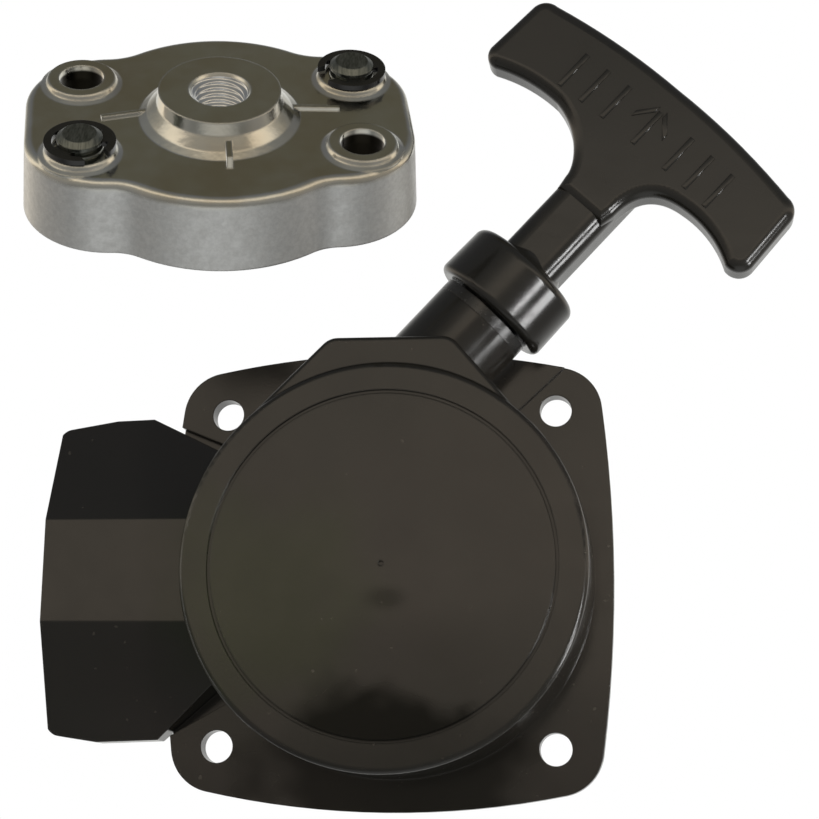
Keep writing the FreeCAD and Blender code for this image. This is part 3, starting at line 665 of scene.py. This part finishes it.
def floor():
    """A plain pale floor under the starter. It takes shadows and leaves the reflections to the world."""
    corners = [(x * FLOOR_HALF, y * FLOOR_HALF, FLOOR_Z) for x, y in ((-1, -1), (1, -1), (1, 1), (-1, 1))]
    mesh = bpy.data.meshes.new("floor")
    mesh.from_pydata(corners, [], [(0, 1, 2, 3)])
    m = Nodes("floor_paper", roughness=0.8, base_color=(0.86, 0.86, 0.85, 1), emission_strength=0.4,
              emission_color=(1, 1, 1, 1))
    mesh.materials.append(m.material)
    made = bpy.data.objects.new("floor", mesh)
    scene.collection.objects.link(made)
    made.visible_glossy = made.visible_diffuse = made.visible_shadow = False
    made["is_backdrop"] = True


# What the world sends from the front at each height, from straight below to straight above
WORLD = ((-1.0, (0.60, 0.60, 0.59)), (-0.75, (0.20, 0.20, 0.195)), (-0.5, (0.28, 0.27, 0.26)),
         (-0.1, (0.34, 0.32, 0.29)), (0.02, (0.36, 0.33, 0.29)), (0.06, (0.62, 0.55, 0.46)),
         (0.10, (1.12, 0.97, 0.79)), (0.27, (1.02, 0.90, 0.74)), (0.33, (0.82, 0.75, 0.65)),
         (0.42, (0.42, 0.39, 0.34)), (0.62, (0.22, 0.22, 0.215)), (0.9, (0.16, 0.165, 0.18)),
         (1.0, (0.115, 0.108, 0.082)))
# A small dark spot in that front, as a lens leaves: its direction, and its inner and outer reach from there
SHADE_AT, SHADE_R = Vector((-0.116, -1.0, 0.068)), (0.010, 0.034)
SHADE_LEFT = 0.12
ROOM = (0.85, 0.85, 0.83)


def world():
    """White for the camera; for other rays a pale room behind the starter and WORLD's bands in front."""
    made = bpy.data.worlds.new("studio")
    scene.world = made
    made.use_nodes = True
    tree = made.node_tree
    tree.nodes.clear()

    def node(kind, **settings):
        n = tree.nodes.new(kind)
        for key, value in settings.items():
            setattr(n, key, value)
        return n

    link = tree.links.new
    direction = node("ShaderNodeTexCoord").outputs["Generated"]
    split = node("ShaderNodeSeparateXYZ")
    link(direction, split.inputs[0])
    height = node("ShaderNodeMapRange")
    height.inputs["From Min"].default_value = -1.0
    link(split.outputs["Z"], height.inputs["Value"])
    ramp = node("ShaderNodeValToRGB")
    ramp.color_ramp.interpolation = "EASE"
    stops = ramp.color_ramp.elements
    while len(stops) < len(WORLD):
        stops.new(0.5)
    for stop, (z, colour) in zip(stops, WORLD):
        stop.position = (z + 1) / 2
        stop.color = (*colour, 1)
    link(height.outputs[0], ramp.inputs[0])
    behind = node("ShaderNodeMapRange", interpolation_type="SMOOTHSTEP")
    behind.inputs["From Min"].default_value = 0.35
    behind.inputs["From Max"].default_value = 1.0
    link(split.outputs["Y"], behind.inputs["Value"])
    away = node("ShaderNodeVectorMath", operation="DISTANCE")
    link(direction, away.inputs[0])
    away.inputs[1].default_value = SHADE_AT.normalized()
    shade = node("ShaderNodeMapRange", interpolation_type="SMOOTHSTEP")
    for socket, value in zip(shade.inputs[1:5], (*SHADE_R, SHADE_LEFT, 1.0)):
        socket.default_value = value
    link(away.outputs["Value"], shade.inputs["Value"])
    front = node("ShaderNodeVectorMath", operation="SCALE")
    link(ramp.outputs[0], front.inputs[0])
    link(shade.outputs[0], front.inputs["Scale"])
    mixed = node("ShaderNodeMix", data_type="RGBA")
    link(behind.outputs[0], mixed.inputs[0])
    link(front.outputs[0], mixed.inputs[6])
    mixed.inputs[7].default_value = (*ROOM, 1)
    room, white = node("ShaderNodeBackground"), node("ShaderNodeBackground")
    white.inputs["Color"].default_value = (1, 1, 1, 1)
    link(mixed.outputs[2], room.inputs["Color"])
    choose = node("ShaderNodeMixShader")
    link(node("ShaderNodeLightPath").outputs["Is Camera Ray"], choose.inputs[0])
    link(room.outputs[0], choose.inputs[1])
    link(white.outputs[0], choose.inputs[2])
    link(choose.outputs[0], node("ShaderNodeOutputWorld").inputs[0])


def softbox(name, direction, distance, size, radiance, aim, bodies=(), gloss=True):
    """A rectangular soft light that faces a point, from a direction seen there, for all or some bodies."""
    light = bpy.data.lights.new(name, "AREA")
    light.shape = "RECTANGLE"
    light.size, light.size_y = size
    light.energy = radiance * math.pi * size[0] * size[1]
    made = bpy.data.objects.new(name, light)
    scene.collection.objects.link(made)
    way = Vector(direction).normalized()
    made.location = Vector(aim) + way * distance
    made.rotation_mode = "QUATERNION"
    made.rotation_quaternion = way.to_track_quat("Z", "Y")
    made.visible_camera = False
    made.visible_glossy = gloss
    if bodies:
        lit = bpy.data.collections.new(f"lit by {name}")
        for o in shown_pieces():
            if set(body_of(o)) & set(bodies):
                lit.objects.link(o)
        made.light_linking.receiver_collection = lit


def camera():
    """The photo's view."""
    view = bpy.data.cameras.new("camera")
    view.sensor_width, view.lens = CAMERA_SENSOR, CAMERA_LENS
    view.clip_start, view.clip_end = 0.01, 20
    made = bpy.data.objects.new("camera", view)
    scene.collection.objects.link(made)
    look_back = (CAMERA_AT - CAMERA_AIM).normalized()
    level = look_back.to_track_quat("Z", "Y")
    made.rotation_mode = "QUATERNION"
    made.rotation_quaternion = Quaternion(look_back, math.radians(CAMERA_ROLL)) @ level
    made.location = CAMERA_AT
    scene.camera = made


floor()
world()
STEM = handle_at(4, 74)
STARTER = ("cover", "reel_body", "handle")
CLOSE = 0.42
softbox("strip", (0.66, -0.68, -0.30), CLOSE, (0.065, 0.10), 22, STEM, STARTER)
softbox("window", (0.82, -0.24, -0.52), CLOSE, (0.12, 0.09), 14.0, STEM, STARTER)
softbox("rim", (-0.88, -0.30, -0.12), 0.6, (0.06, 0.45), 3.0, (0, 0, 0), ("cover",))
softbox("overhead", (-0.35, -0.55, 0.85), 1.1, (0.5, 0.5), 1.5, (0, 0, 0), gloss=False)
camera()
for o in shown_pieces():
    if "hub" in body_of(o):
        o.visible_glossy = False          # the hub lies apart: the cover doesn't mirror it
